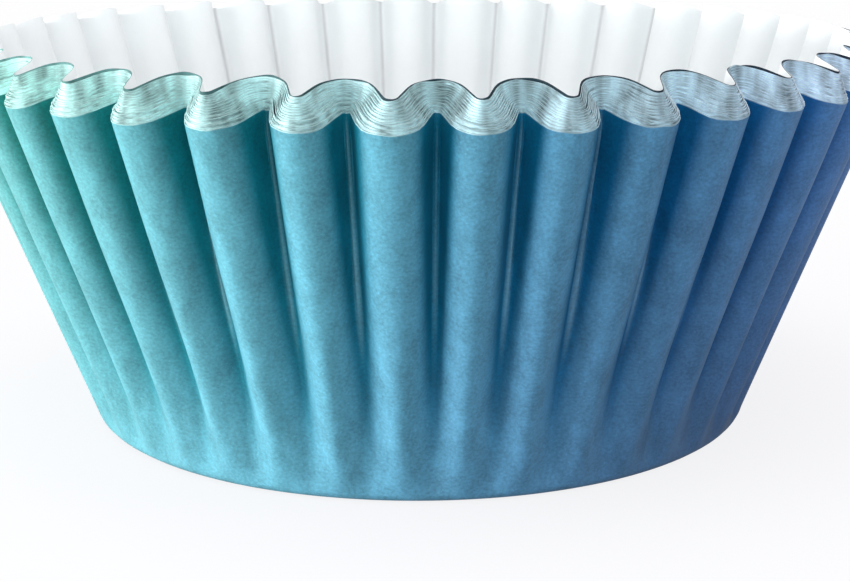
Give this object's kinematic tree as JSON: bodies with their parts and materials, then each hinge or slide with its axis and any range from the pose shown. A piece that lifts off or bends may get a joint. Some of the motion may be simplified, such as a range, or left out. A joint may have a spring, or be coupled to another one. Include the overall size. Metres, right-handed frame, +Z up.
{
  "type": "stack of cupcake liners",
  "caption": "Stack of nested pleated paper cupcake liners with a flat round base and a fluted, flared wall, coloured outside and white inside.",
  "frame": {"origin": "centre of the underside of the outermost liner's flat base", "axes": "+Z up along the cups' common axis, towards the open rim; +X through a ridge of the pleats"},
  "size_m": [0.0698, 0.0698, 0.0289],
  "materials": {
    "coloured_paper": "satin",
    "white_paper": "matte"
  },
  "bodies": {
    "root": {"liner_01": "coloured_paper", "liner_02": "coloured_paper", "liner_03": "coloured_paper", "liner_04": "coloured_paper", "liner_05": "coloured_paper", "liner_06": "coloured_paper", "liner_07": "coloured_paper", "liner_08": "coloured_paper", "liner_09": "coloured_paper", "liner_10": "coloured_paper", "liner_11": "coloured_paper", "liner_12": "coloured_paper", "liner_13": "coloured_paper", "liner_14": "coloured_paper", "liner_15": "white_paper"}
  },
  "joints": []
}
